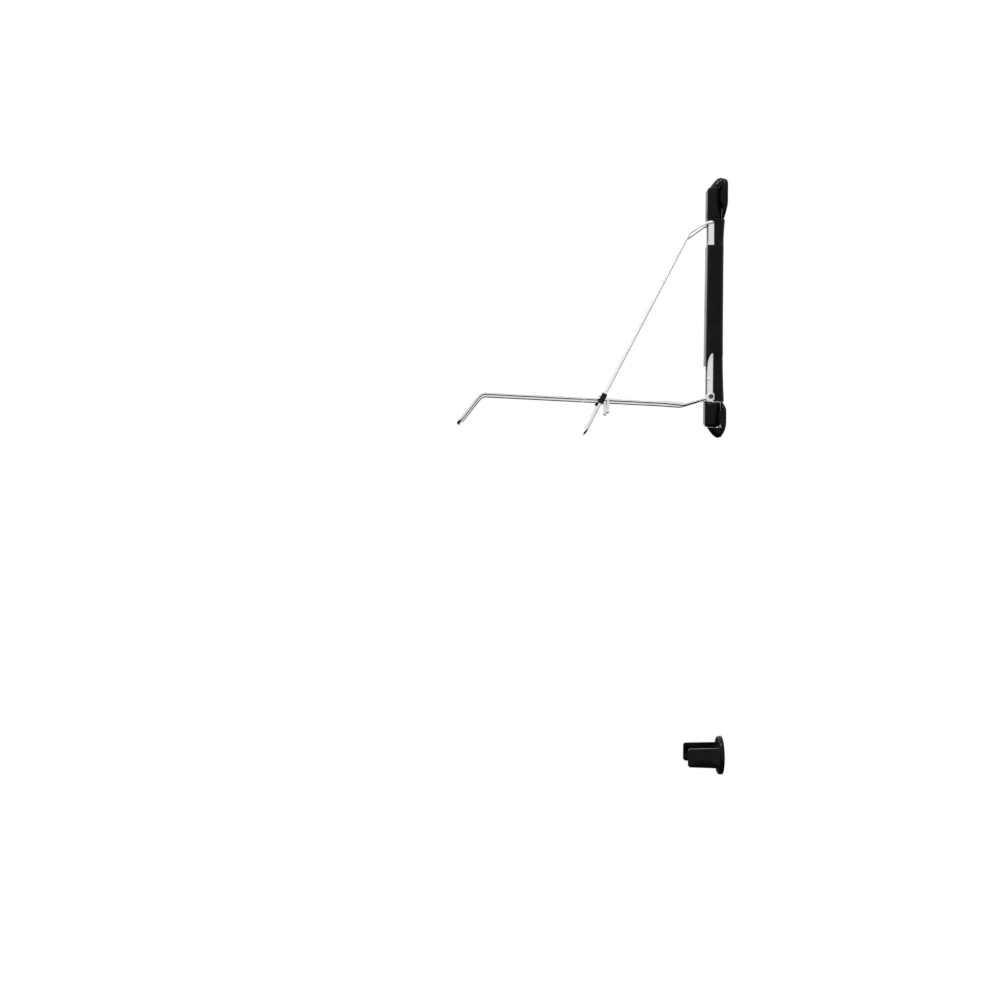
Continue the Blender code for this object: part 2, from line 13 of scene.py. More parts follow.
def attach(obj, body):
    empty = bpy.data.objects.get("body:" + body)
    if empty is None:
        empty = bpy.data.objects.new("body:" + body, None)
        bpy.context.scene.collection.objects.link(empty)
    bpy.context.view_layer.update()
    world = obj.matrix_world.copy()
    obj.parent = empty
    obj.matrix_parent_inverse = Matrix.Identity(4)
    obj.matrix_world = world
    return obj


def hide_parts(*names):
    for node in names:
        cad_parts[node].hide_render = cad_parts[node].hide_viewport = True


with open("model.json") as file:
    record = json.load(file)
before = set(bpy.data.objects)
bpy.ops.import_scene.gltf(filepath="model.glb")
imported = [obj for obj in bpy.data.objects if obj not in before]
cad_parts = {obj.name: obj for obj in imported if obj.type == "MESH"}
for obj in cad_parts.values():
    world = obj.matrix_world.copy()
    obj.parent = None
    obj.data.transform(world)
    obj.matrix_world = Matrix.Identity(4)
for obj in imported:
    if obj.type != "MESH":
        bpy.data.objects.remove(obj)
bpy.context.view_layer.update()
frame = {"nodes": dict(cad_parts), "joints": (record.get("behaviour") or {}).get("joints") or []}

# The least gap between two pieces, and the swivel's axis
GAP = 0.0003
SWIVEL_Y = -0.029

# Turrets at the ends of the column
TURRET_HALF, HEAD_FRONT, FOOT_FRONT = 0.0195, -0.0462, -0.0485
TURRET_CORNER = 0.0060
HEAD_LOW, HEAD_HIGH, HEAD_RIM = 0.4756, 0.5482, 0.0085
FOOT_LOW, FOOT_HIGH, FOOT_RIM = -0.0222, 0.033, 0.0130
BUSH_HOLE, BUSH_DEEP_TOP, BUSH_DEEP_BOTTOM = 0.0073, 0.0187, 0.0182

# Wall brackets: screws, pad, domed lug, and the rim and cheeks beside the turret
TOP_SCREW_Z, BOTTOM_SCREW_Z = 0.537, 0.0
PAD_HALF, PAD_THICK, SCREW_X = 0.031, 0.009, 0.024
PAD_CORNER, PAD_ROUND_END, PIN_HOLE = 0.0030, 0.026, 0.0043
LUG_HALF, LUG_CORNER, LUG_BACK = 0.021, 0.0185, 0.014
RIM_FRONT, RIM_INSIDE = 0.0103, 0.0188
CHEEK_FRONT, CHEEK_INSIDE = 0.0175, 0.0273

# Column: front cover, back cover and steel channel
COVER_HALF, COVER_WALL, COVER_FRONT, COVER_BACK = 0.025, 0.0022, -0.0455, -0.022
COVER_LIP, COVER_ARCH, COVER_TOP = 0.124, 0.153, 0.409
SHELL_HALF, SHELL_FRONT, SHELL_BACK = 0.020, -0.030, -0.0062
SHELL_BOTTOM, SHELL_TOP = 0.0385, 0.471
CHANNEL_HALF, CHANNEL_WALL, CHANNEL_FRONT, CHANNEL_BACK = 0.017, 0.002, -0.0430, -0.0242
CHANNEL_BOTTOM, CHANNEL_TOP = 0.006, 0.504

# Lower arm: hinge, plates, rails and posts
HINGE = Vector((0, -0.0345, 0.0497))
HINGE_END = Vector((0, -0.056, 0.044))
BOLT_RADIUS, BOLT_HOLE, HEX_RADIUS = 0.003, 0.0033, 0.00577
PLATE_IN, PLATE_OUT, PLATE_EYE = 0.0174, 0.0204, 0.0080
RIVET = Vector((0, -0.040, 0.0915))
RIVET_SHANK, RIVET_HEAD = 0.002, 0.0036
RAIL_X, RAIL_RADIUS = 0.038, 0.0045
RAIL_START = Vector((RAIL_X, -0.150, 0.034))
RAIL_TIP = Vector((RAIL_X, -0.580, 0.0525))
RAIL_HOOK = Vector((RAIL_X, -0.634, -0.017))
POST_Y, POST_BOTTOM, POST_RADIUS = -0.282, 0.006, 0.0045

# Upper arm
BAIL_HINGE = Vector((0, -0.034, 0.464))
LEG_X, LEG_RADIUS, LEG_TILT = 0.048, 0.00325, math.radians(27.2)
LEG_TOP = Vector((LEG_X, -0.09254, 0.4325))
LEG_LENGTH = 0.5306
HOOK_IN, HOOK_OUT = 0.0115, 0.0212

# Tail bracket with its prongs and ribs, and the clips on the lower arm
TAIL_Z, TAIL_HALF_X, TAIL_HALF_Z, TAIL_THICK = -0.8055, 0.048, 0.0455, 0.010
TAIL_EDGE, TAIL_SCREW = 0.0045, 0.026
PRONG_X, PRONG_WALL, PRONG_REACH = 0.039, 0.006, 0.0855
PRONG_TIP, PRONG_ROOT, RIB_PITCH, RIB_HALF = 0.0215, 0.0236, 0.0145, 0.0013
CLIP_HALF, CLIP_RIB_PITCH, CLIP_RIB_HALF = 0.0125, 0.0070, 0.0011

# Where the bail's legs cross the rails, and the way that the legs run down
CROSSING = next(Vector(j["pos_m"]) for j in frame["joints"] if j["name"] == "guide_right_turn")
CROSSING.x = 0
DOWN = Vector((0, -math.sin(LEG_TILT), -math.cos(LEG_TILT)))


# ---------------------------------------------------------------- materials

def shader_material(name, colour, roughness, metallic=0.0, specular=0.5):
    made = bpy.data.materials.new(name)
    made.use_nodes = True
    shader = made.node_tree.nodes["Principled BSDF"]
    shader.inputs["Base Color"].default_value = (*colour, 1)
    shader.inputs["Roughness"].default_value = roughness
    shader.inputs["Metallic"].default_value = metallic
    shader.inputs["Specular IOR Level"].default_value = specular
    return made, made.node_tree, shader


def noise(tree, scale, detail=3.0, stretch=(1, 1, 1)):
    """Noise in the object's own coordinates, scaled per axis."""
    place = tree.nodes.new("ShaderNodeTexCoord")
    mapping = tree.nodes.new("ShaderNodeMapping")
    mapping.inputs["Scale"].default_value = stretch
    grain = tree.nodes.new("ShaderNodeTexNoise")
    grain.inputs["Scale"].default_value = scale
    grain.inputs["Detail"].default_value = detail
    tree.links.new(place.outputs["Object"], mapping.inputs["Vector"])
    tree.links.new(mapping.outputs["Vector"], grain.inputs["Vector"])
    return grain.outputs["Fac"]


def x_of(tree, coordinates):
    """The X part of one of the texture coordinates."""
    place = tree.nodes.new("ShaderNodeTexCoord")
    split = tree.nodes.new("ShaderNodeSeparateXYZ")
    tree.links.new(place.outputs[coordinates], split.inputs["Vector"])
    return split.outputs["X"]


def ranged(tree, value, low, high, from_low=0.35, from_high=0.65):
    mapped = tree.nodes.new("ShaderNodeMapRange")
    mapped.inputs["From Min"].default_value = from_low
    mapped.inputs["From Max"].default_value = from_high
    mapped.inputs["To Min"].default_value = low
    mapped.inputs["To Max"].default_value = high
    tree.links.new(value, mapped.inputs["Value"])
    return mapped.outputs["Result"]


def blended(tree, value, first, second):
    mix = tree.nodes.new("ShaderNodeMix")
    mix.data_type = "RGBA"
    mix.inputs["A"].default_value = (*first, 1)
    mix.inputs["B"].default_value = (*second, 1)
    tree.links.new(value, mix.inputs["Factor"])
    return mix.outputs["Result"]


def bumped(tree, shader, value, strength, distance):
    bump = tree.nodes.new("ShaderNodeBump")
    bump.inputs["Strength"].default_value = strength
    bump.inputs["Distance"].default_value = distance
    tree.links.new(value, bump.inputs["Height"])
    tree.links.new(bump.outputs["Normal"], shader.inputs["Normal"])


def gloss_black():
    """Deep gloss moulding: a slow ripple, faint rub marks and a slightly cloudy tone."""
    made, tree, shader = shader_material("gloss_black_plastic", (0.004, 0.004, 0.0045), 0.16,
                                         specular=0.09)
    rub = ranged(tree, noise(tree, 60, 6, (1, 1, 0.25)), 0.12, 0.24)
    tree.links.new(rub, shader.inputs["Roughness"])
    tone = ranged(tree, noise(tree, 28, 4), 0, 1)
    tree.links.new(blended(tree, tone, (0.0028, 0.0028, 0.0031), (0.0052, 0.0052, 0.0056)),
                   shader.inputs["Base Color"])
    bumped(tree, shader, noise(tree, 90, 2), 0.08, 0.0004)
    return made


def satin_black():
    """Spark-eroded moulding: a fine even grain that breaks the reflections up."""
    made, tree, shader = shader_material("satin_black_plastic", (0.006, 0.006, 0.0065), 0.36,
                                         specular=0.12)
    wear = ranged(tree, noise(tree, 70, 5), 0.28, 0.44)
    tree.links.new(wear, shader.inputs["Roughness"])
    tone = ranged(tree, noise(tree, 35, 4), 0, 1)
    tree.links.new(blended(tree, tone, (0.006, 0.006, 0.0065), (0.010, 0.010, 0.0105)),
                   shader.inputs["Base Color"])
    bumped(tree, shader, noise(tree, 1800, 2), 0.15, 0.0001)
    return made


def bright_zinc(name, stretch, ripple):
    """Bright plated steel: drawn streaks along the metal and cloudy patches in the plating."""
    made, tree, shader = shader_material(name, (0.85, 0.855, 0.86), 0.2, metallic=1.0)
    streaks = noise(tree, 260, 3, stretch)
    tree.links.new(ranged(tree, streaks, 0.17, 0.27), shader.inputs["Roughness"])
    clouds = ranged(tree, noise(tree, 24, 5), 0, 1, 0.3, 0.7)
    tree.links.new(blended(tree, clouds, (0.88, 0.885, 0.89), (0.76, 0.77, 0.785)),
                   shader.inputs["Base Color"])
    bumped(tree, shader, streaks, ripple, 0.00005)
    return made


def dark_steel():
    """Black oxide: dark metal with brown-grey patches and worn, shinier spots."""
    made, tree, shader = shader_material("dark_steel", (0.05, 0.05, 0.055), 0.35, metallic=0.9)
    patches = ranged(tree, noise(tree, 160, 5), 0, 1)
    tree.links.new(blended(tree, patches, (0.035, 0.035, 0.04), (0.095, 0.09, 0.088)),
                   shader.inputs["Base Color"])
    tree.links.new(ranged(tree, noise(tree, 240, 4), 0.26, 0.48), shader.inputs["Roughness"])
    bumped(tree, shader, noise(tree, 900, 2), 0.15, 0.0001)
    return made


def nylon():
    """Ivory plastic with a slightly cloudy tone."""
    made, tree, shader = shader_material("nylon", (0.72, 0.70, 0.64), 0.5)
    tone = ranged(tree, noise(tree, 120, 4), 0, 1)
    tree.links.new(blended(tree, tone, (0.74, 0.72, 0.66), (0.62, 0.60, 0.54)),
                   shader.inputs["Base Color"])
    return made


MATERIAL = {
    "gloss_black": gloss_black(),
    "satin_black": satin_black(),
    "bright_zinc": bright_zinc("bright_zinc_wire", (1, 0.2, 0.2), 0.04),
    "zinc_sheet": bright_zinc("bright_zinc_sheet", (1, 1, 0.06), 0.08),
    "dark_steel": dark_steel(),
    "nylon": nylon(),
}


# ---------------------------------------------------------------- shapes

def fillet(points, radius, closed=True, steps=8):
    """Round the corners of a path or an outline. radius is one value, or one for each corner."""
    points = [Vector(p) for p in points]
    radii = radius if isinstance(radius, (list, tuple)) else [radius] * len(points)
    path = []
    for index, corner in enumerate(points):
        at_end = not closed and index in (0, len(points) - 1)
        if at_end or radii[index] == 0:
            path.append(corner)
            continue
        back = (points[index - 1] - corner).normalized()
        ahead = (points[(index + 1) % len(points)] - corner).normalized()
        half = back.angle(ahead) / 2
        reach = radii[index] / math.tan(half)
        centre = corner + (back + ahead).normalized() * radii[index] / math.sin(half)
        start, end = corner + back * reach - centre, corner + ahead * reach - centre
        sweep = math.pi - 2 * half
        for step in range(steps + 1):
            t = step / steps
            path.append(centre + (start * math.sin((1 - t) * sweep) + end * math.sin(t * sweep))
                        / math.sin(sweep))
    return path


def hexagon(across, up, radius):
    """The corners of a hexagon round a centre."""
    return [(across + radius * math.cos(a), up + radius * math.sin(a))
            for a in (math.pi / 3 * k for k in range(6))]


def skin(rings):
    """A closed solid through rings of world points that all have the same count."""
    shape = bmesh.new()
    loops = [[shape.verts.new(p) for p in ring] for ring in rings]
    count = len(loops[0])
    shape.faces.new(loops[0])
    shape.faces.new(list(reversed(loops[-1])))
    for lower, upper in zip(loops, loops[1:]):
        for i in range(count):
            j = (i + 1) % count
            shape.faces.new((lower[i], upper[i], upper[j], lower[j]))
    bmesh.ops.recalc_face_normals(shape, faces=shape.faces)
    return shape


def prism(outline, axis, low, high):
    """Extrude an outline along an axis. It is drawn in the other two axes, in X, Y, Z order."""
    order = {"X": lambda a, b, h: (h, a, b), "Y": lambda a, b, h: (a, h, b),
             "Z": lambda a, b, h: (a, b, h)}[axis]
    return skin([[order(p[0], p[1], height) for p in outline] for height in (low, high)])


def box(low, high):
    return prism([(low[0], low[1]), (high[0], low[1]), (high[0], high[1]), (low[0], high[1])],
                 "Z", low[2], high[2])


def turned(profile, centre, axis="Z", segments=48):
    """Turn a profile of (radius, height) points, which starts and ends on the axis."""
    shape = bmesh.new()
    rings = []
    for radius, height in profile:
        if radius == 0:
            rings.append([shape.verts.new((0, 0, height))])
            continue
        rings.append([shape.verts.new((radius * math.cos(a), radius * math.sin(a), height))
                      for a in (2 * math.pi * k / segments for k in range(segments))])
    for lower, upper in zip(rings, rings[1:]):
        for i in range(segments):
            j = (i + 1) % segments
            corners = [lower[i % len(lower)], lower[j % len(lower)],
                       upper[j % len(upper)], upper[i % len(upper)]]
            shape.faces.new(list(dict.fromkeys(corners)))
    turn = {"Z": Matrix(), "X": Matrix.Rotation(math.pi / 2, 4, "Y"),
            "Y": Matrix.Rotation(math.pi / 2, 4, "X")}[axis]
    bmesh.ops.transform(shape, matrix=Matrix.Translation(centre) @ turn, verts=shape.verts)
    bmesh.ops.recalc_face_normals(shape, faces=shape.faces)
    return shape


def drum(radius, low, high, centre=(0, SWIVEL_Y, 0), axis="Z"):
    """A round bar along an axis. Its centre is on the swivel's axis unless it is given."""
    return turned([(0, low), (radius, low), (radius, high), (0, high)], centre, axis)


def rod(path, radius, sides):
    """A round rod along a path, its ends closed with a small chamfer."""
    rings, normal = [], Vector((0, 0, 1))
    chamfer = radius * 0.14
    for index, point in enumerate(path):
        along = (path[min(index + 1, len(path) - 1)] - path[max(index - 1, 0)]).normalized()
        side = along.cross(normal)
        if side.length < 0.2:
            side = along.cross(Vector((0, 1, 0)))
        side.normalize()
        normal = side.cross(along).normalized()
        steps = [(0, radius)]
        if index == 0:
            steps = [(0, radius - chamfer), (chamfer, radius)]
        if index == len(path) - 1:
            steps = [(-chamfer, radius), (0, radius - chamfer)]
        for shift, size in steps:
            rings.append([point + along * shift + size * (math.cos(a) * side + math.sin(a) * normal)
                          for a in (2 * math.pi * k / sides for k in range(sides))])
    return skin(rings)


def flipped(points):
    """The other half of a loop that is the same on both sides."""
    return [Vector((-p.x, p.y, p.z)) for p in reversed(points)]


def made_object(name, shape):
    """An object of a bmesh, which is freed."""
    bmesh.ops.recalc_face_normals(shape, faces=shape.faces)
    data = bpy.data.meshes.new(name)
    shape.to_mesh(data)
    shape.free()
    item = bpy.data.objects.new(name, data)
    bpy.context.scene.collection.objects.link(item)
    return item


def settle(item):
    """Replace an object's mesh by what its modifiers make of it."""
    bpy.context.view_layer.update()
    evaluated = item.evaluated_get(bpy.context.evaluated_depsgraph_get())
    data = bpy.data.meshes.new_from_object(evaluated)
    item.modifiers.clear()
    item.data = data


def carved(name, shape, steps, bevel=0.0, angle=38, segments=3):
    """A solid from a shape and a list of (operation, shape) steps, with its edges softened."""
    item = made_object(name, shape)
    for operation, tool_shape in steps:
        tool = made_object(name + "_tool", tool_shape)
        change = item.modifiers.new(operation, "BOOLEAN")
        change.operation = operation
        change.solver = "EXACT"
        change.object = tool
        settle(item)
        bpy.data.objects.remove(tool, do_unlink=True)
    if bevel:
        rounding = item.modifiers.new("rounding", "BEVEL")
        rounding.width = bevel
        rounding.segments = segments
        rounding.limit_method = "ANGLE"
        rounding.angle_limit = math.radians(angle)
        settle(item)
    return item


def finish_piece(item, body, look, *stands_for, sharp=32):
    """Material, shading, body and the CAD nodes that this piece stands for."""
    item.data.materials.clear()
    item.data.materials.append(MATERIAL[look])
    item.data.shade_smooth()
    item.data.set_sharp_from_angle(angle=math.radians(sharp))
    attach(item, body)
    if stands_for:
        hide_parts(*stands_for)


# ---------------------------------------------------------------- wall side

def rounded_ring(half, front, back, corner, wall_corner, z, steps=6):
    """A plan section with rounded front corners; the corners shrink with a thin section."""
    deep = abs(back - front)
    corner = min(corner, 0.58 * deep, 0.96 * half)
    wall_corner = min(wall_corner, 0.38 * deep, 0.96 * half)
    ring = fillet([(-half, back), (-half, front), (half, front), (half, back)],
                  [wall_corner, corner, corner, wall_corner], steps=steps)
    return [(p.x, p.y, z) for p in ring]


def screw_well(x, z, thick, depths):
    """A cutter for a countersunk screw: how deep its seat, its two steps and its cone end lie."""
    seat, step, waist, cone = depths
    return turned([(0, thick + 0.003), (0.0062, thick + 0.003), (0.0062, seat), (0.0052, step),
                   (0.0051, waist), (0.0028, cone), (0.0028, -0.001), (0, -0.001)], (x, 0, z), "Y")


def bracket(name, screw_z, up, taper, lug, peak, wall_start, pin):
    """A moulded wall bracket: a pad on the wall, and a domed lug that holds the swivel pin.

    The pad has a low rim and a cheek along both sides, which wrap round the turret. Heights count
    outwards from the screws. taper is the pad's narrow end, its half width there and where it is
    full width; lug is where the lug starts and its reach; wall_start is where the back leaves the
    wall on its way up to the peak, and how sharply.
    """
    (narrow, narrow_half, full), (lug_start, reach), (rise, back_power) = taper, lug, wall_start
    tall = peak - rise

    def back_at(h):
        if h <= rise:
            return -0.0063 * max((-h - full * 0.75) / (narrow - full * 0.75), 0) ** 1.3
        t = min((h - rise) / tall, 1)
        return -LUG_BACK * (1 - (1 - t ** back_power) ** 0.55)

    pad_end, least_thick, rings = peak - 0.0022, 0.0015, 48
    pad = []
    for k in range(rings + 1):
        h = -narrow + (pad_end + narrow) * (1 - math.cos(math.pi * k / rings)) / 2
        half = PAD_HALF
        if -h > full:
            t = (-h - full) / (narrow - full)
            half = PAD_HALF + (narrow_half - PAD_HALF) * (0.35 * t + 0.65 * math.sin(math.pi / 2 * t) ** 3)
        past = h - (pad_end - PAD_ROUND_END)
        if past > 0:
            half *= math.sqrt(max(1 - (past / PAD_ROUND_END) ** 2.4, 0.01))
        back = max(back_at(h), least_thick - PAD_THICK)
        pad.append(rounded_ring(half, -RIM_FRONT, back, PAD_CORNER, 0.0005, screw_z + up * h))
    dome, rings = [], 32
    for k in range(rings + 1):
        t = 0.996 * math.sin(math.pi / 2 * k / rings)
        h = lug_start + (peak - lug_start) * t
        front = -LUG_BACK - (reach - LUG_BACK) * (1 - t) ** 0.62
        half = max(LUG_HALF * math.sqrt(1 - t ** 2.2), 0.0015)
        dome.append(rounded_ring(half, front, back_at(h), LUG_CORNER, 0.0004 + 0.010 * t ** 3,
                                 screw_z + up * h, steps=14))
    floor = box((-RIM_INSIDE, -0.03, screw_z - 0.07), (RIM_INSIDE, -PAD_THICK, screw_z + 0.07))
    steps = [("DIFFERENCE", floor)]
    inner_end, outer_end = -full - 0.003, pad_end - 0.025
    cheek = fillet([(y, screw_z + up * h) for y, h in (
        (-0.006, inner_end), (-CHEEK_FRONT, inner_end + 0.012),
        (-CHEEK_FRONT, outer_end - 0.009), (-0.006, outer_end))], [0, 0.006, 0.006, 0])
    outside = PAD_HALF - 0.0002
    for start, end in ((-outside, -CHEEK_INSIDE), (CHEEK_INSIDE, outside)):
        steps.append(("UNION", prism(cheek, "X", start, end)))
    steps += [("UNION", skin(dome)), ("DIFFERENCE", drum(PIN_HOLE, *pin))]
    for x in (-SCREW_X, SCREW_X):
        well = screw_well(x, screw_z, PAD_THICK, (0.0088, 0.0082, 0.0074, 0.0045))
        steps.append(("DIFFERENCE", well))
    item = carved(name + "_moulding", skin(pad), steps)
    finish_piece(item, "wall_brackets", "gloss_black", name, sharp=40)


def screw(name, place, depth):
    """Countersunk screw with a hexagon socket. depth is the thickness that it goes through."""
    head, shank, socket_radius = 0.0048, 0.0025, 0.0017
    profile = [(0, depth - 0.0012), (head - 0.0004, depth - 0.0011), (head, depth - 0.0014),
               (head - 0.0001, depth - 0.0018), (shank, depth - 0.0043), (shank, GAP), (0, GAP)]
    socket = hexagon(place[0], place[2], socket_radius)
    item = carved(name + "_head", turned(profile, place, "Y"),
                  [("DIFFERENCE", prism(socket, "Y", -depth - 0.001, -depth + 0.0034))])
    finish_piece(item, "wall_brackets", "dark_steel", name)


def build_wall_side():
    """The two wall brackets and their four screws."""
    bracket("top_bracket", TOP_SCREW_Z, 1, taper=(0.0655, 0.012, 0.035), lug=(0.0133, 0.0385),
            peak=0.0368, wall_start=(0.019, 2.0), pin=(0.5, 0.5577))
    bracket("bottom_bracket", BOTTOM_SCREW_Z, -1, taper=(0.038, 0.014, 0.020), lug=(0.0243, 0.0395),
            peak=0.0478, wall_start=(0.014, 1.4), pin=(-0.0342, 0.03))
    number = 1
    for z in (TOP_SCREW_Z, BOTTOM_SCREW_Z):
        for x in (-SCREW_X, SCREW_X):
            screw(f"wall_screw_{number}", (x, 0, z), PAD_THICK)
            number += 1


def build_tail_bracket():
    """An oval domed base with two flat prongs and ribs at their roots."""
    steps_round, sides = 10, 96
    levels = [(0, 0), (0, -(TAIL_THICK - TAIL_EDGE) / 2)]
    for k in range(steps_round + 1):
        a = math.pi / 2 * k / steps_round
        levels.append((TAIL_EDGE * (1 - math.cos(a)), TAIL_EDGE - TAIL_THICK - TAIL_EDGE * math.sin(a)))
    oval = [[((TAIL_HALF_X - inset) * math.cos(a), y, TAIL_Z + (TAIL_HALF_Z - inset) * math.sin(a))
             for a in (2 * math.pi * k / sides for k in range(sides))] for inset, y in levels]
    start = -0.006
    prong = fillet([(start, TAIL_Z + PRONG_ROOT), (-PRONG_REACH, TAIL_Z + PRONG_TIP),
                    (-PRONG_REACH, TAIL_Z - PRONG_TIP), (start, TAIL_Z - PRONG_ROOT)],
                   [0, 0.006, 0.006, 0])
    steps = []
    for side in (-1, 1):
        ends = sorted((side * (PRONG_X - PRONG_WALL / 2), side * (PRONG_X + PRONG_WALL / 2)))
        steps.append(("UNION", prism(prong, "X", *ends)))
        inner = side * (PRONG_X - PRONG_WALL / 2 + 0.0002)
        for z in (TAIL_Z - RIB_PITCH, TAIL_Z, TAIL_Z + RIB_PITCH):
            rib = [(inner, -0.0085), (inner - side * 0.010, -0.0085), (inner, -0.026)]
            steps.append(("UNION", prism(rib, "Z", z - RIB_HALF, z + RIB_HALF)))
    screws = (TAIL_Z - TAIL_SCREW, TAIL_Z + TAIL_SCREW)
    for z in screws:
        well = screw_well(0, z, TAIL_THICK, (0.0102, 0.0094, 0.0084, 0.0055))
        steps.append(("DIFFERENCE", well))
    item = carved("tail_bracket_moulding", skin(oval), steps, bevel=0.0011, angle=50)
    finish_piece(item, "wall_brackets", "gloss_black", "tail_bracket", sharp=40)
    for number, z in enumerate(screws, 1):
        screw(f"tail_screw_{number}", (0, 0, z), TAIL_THICK)


# ---------------------------------------------------------------- column

def turret_ring(face, inset, z):
    """The turrets' plan: round the swivel at the back, with a flat face in front."""
    half = TURRET_HALF - inset
    arc = [(half * math.cos(a), SWIVEL_Y + half * math.sin(a), z)
           for a in (math.pi * k / 32 for k in range(33))]
    corner = max(TURRET_CORNER - inset * 0.3, TURRET_CORNER / 2)
    front = fillet([(-half, SWIVEL_Y), (-half, face + inset), (half, face + inset),
                    (half, SWIVEL_Y)], [0, corner, corner, 0])
    return arc + [(p.x, p.y, z) for p in front[1:-1]]


def turret(name, low, high, rim_up, rim, face):
    """The head or foot, with its outer rim rounded, and hollow for the bush and the channel."""
    size, steps_round = high - low, 12
    levels = [(0.0009, 0.0), (0.0003, 0.0005), (0.0, 0.0013), (0.0, size * 0.4)]
    for k in range(steps_round + 1):
        a = math.pi / 2 * k / steps_round
        levels.append((rim * 0.9 * (1 - math.cos(a)), size - rim + rim * math.sin(a)))
    place = (lambda h: low + h) if rim_up else (lambda h: high - h)
    rings = [turret_ring(face, inset, place(h)) for inset, h in levels]
    bore = (high - BUSH_DEEP_TOP, high + 0.01) if rim_up else (low - 0.01, low + BUSH_DEEP_BOTTOM)
    pocket = (low - 0.01, CHANNEL_TOP + GAP) if rim_up else (CHANNEL_BOTTOM - GAP, high + 0.01)
    half = CHANNEL_HALF + GAP
    item = carved(name + "_moulding", skin(rings), [
        ("DIFFERENCE", drum(BUSH_HOLE, *bore)),
        ("DIFFERENCE", box((-half, CHANNEL_FRONT - GAP, pocket[0]),
                           (half, CHANNEL_BACK + GAP, pocket[1])))])
    finish_piece(item, "column", "gloss_black", name, sharp=40)


def collar(name, low, high, lobes_down, face):
    """A band round the channel that ends in a row of lobes.

    The head's band is low in front, with its lobes down, and closes the gap over the shell behind.
    The foot's band goes all the way round, with its lobes up.
    """
    radius, pitch = (0.0034, 0.0059) if lobes_down else (0.0017, 0.0046)
    edge = low + 0.0002 if lobes_down else high - 0.0002
    front, inner = face + 0.0004, CHANNEL_FRONT - GAP
    side, half = TURRET_HALF - 0.0004, CHANNEL_HALF + GAP
    steps = []
    if lobes_down:
        back, outside, corner = SHELL_FRONT - 0.0004, side + 0.0002, 0.005
        outline = fillet([(-outside, back), (-outside, front), (outside, front), (outside, back),
                          (half, back), (half, inner), (-half, inner), (-half, back)],
                         [0, corner, corner, 0, 0, 0, 0, 0])
        band = prism(outline, "Z", low, high)
        steps.append(("UNION", skin([turret_ring(face, 0.0005, z) for z in (SHELL_TOP + GAP, high)])))
    else:
        band = skin([turret_ring(face, inset, z) for inset, z in
                     ((0.0004, low), (0.0004, high - 0.0006), (0.0009, high))])
    steps.append(("DIFFERENCE", box((-half, inner, low - 0.01),
                                    (half, CHANNEL_BACK + GAP, high + 0.01))))
    for k in range(3):
        place = (0, front + 0.0042 + pitch * k, edge)
        for start, end in ((-side, -half - 0.0001), (half + 0.0001, side)):
            steps.append(("UNION", drum(radius, start, end, place, "X")))
    for k in range(4):
        place = (0.0090 * (k - 1.5), 0, edge)
        steps.append(("UNION", drum(radius, -inner + 0.0001, -front - 0.0002, place, "Y")))
    item = carved(name + "_lobes", band, steps, bevel=0.0004)
    finish_piece(item, "column", "gloss_black", name)


def build_channel():
    """The folded steel channel, with holes for the bail, the hinge bolt and the rivets."""
    out, inner = CHANNEL_HALF, CHANNEL_HALF - CHANNEL_WALL
    web = CHANNEL_BACK - CHANNEL_WALL
    outline = fillet([(-out, CHANNEL_FRONT), (-inner, CHANNEL_FRONT), (-inner, web), (inner, web),
                      (inner, CHANNEL_FRONT), (out, CHANNEL_FRONT), (out, CHANNEL_BACK),
                      (-out, CHANNEL_BACK)], [0.0004, 0.0004, 0.0008, 0.0008, 0.0004, 0.0004,
                                              0.0028, 0.0028])
    steps = [("DIFFERENCE", drum(radius, -0.03, 0.03, centre, "X")) for centre, radius in
             ((HINGE, BOLT_HOLE), (BAIL_HINGE, LEG_RADIUS + 0.0004), (RIVET, RIVET_SHANK + GAP))]
    item = carved("channel_pressing", prism(outline, "Z", CHANNEL_BOTTOM, CHANNEL_TOP), steps)
    finish_piece(item, "column", "zinc_sheet", "column_channel")


def u_outline(half, front, back, corner):
    """A U shape with rounded corners at its front. The corners shrink with a shallow one."""
    corner = min(corner, 0.9 * abs(back - front))
    return fillet([(-half, back), (-half, front), (half, front), (half, back)],
                  [0, corner, corner, 0], steps=12)


def build_cover():
    """The front cover; its lower lip turns out a little over the arm's arch."""
    outer = prism(u_outline(COVER_HALF, COVER_FRONT, COVER_BACK, 0.0095), "Z", COVER_LIP, COVER_TOP)
    inner = prism(u_outline(COVER_HALF - COVER_WALL, COVER_FRONT + COVER_WALL, 0, 0.0066), "Z",
                  COVER_LIP - 0.01, COVER_TOP + 0.01)
    arch = fillet([(COVER_FRONT - 0.01, COVER_LIP - 0.01), (COVER_FRONT + 0.0012, COVER_LIP - 0.01),
                   (COVER_FRONT + 0.0050, COVER_LIP + 0.016), (-0.0345, COVER_ARCH),
                   (-0.01, COVER_ARCH), (-0.01, COVER_LIP - 0.02), (COVER_FRONT - 0.01, COVER_LIP - 0.02)],
                  [0, 0, 0.020, 0.007, 0, 0, 0], steps=12)
    item = carved("front_cover_shell", outer, [
        ("DIFFERENCE", inner), ("DIFFERENCE", prism(arch, "X", -0.03, 0.03))],
        bevel=0.0006, angle=50)
    flare = 0.0022
    for vert in item.data.vertices:
        below = max(COVER_ARCH - vert.co.z, 0) / (COVER_ARCH - COVER_LIP)
        vert.co.y -= flare * below ** 1.5
    finish_piece(item, "column", "gloss_black", "front_cover", sharp=40)


def shell_back(z):
    """The back cover's back: it bows towards the wall at both ends."""
    middle, bow_end, low_bow, high_bow, power = 0.330, 0.042, 0.0040, 0.0033, 4.4
    if z < middle:
        return SHELL_BACK + low_bow * min((middle - z) / (middle - bow_end), 1) ** power
    return SHELL_BACK + high_bow * ((z - middle) / (SHELL_TOP - middle)) ** power


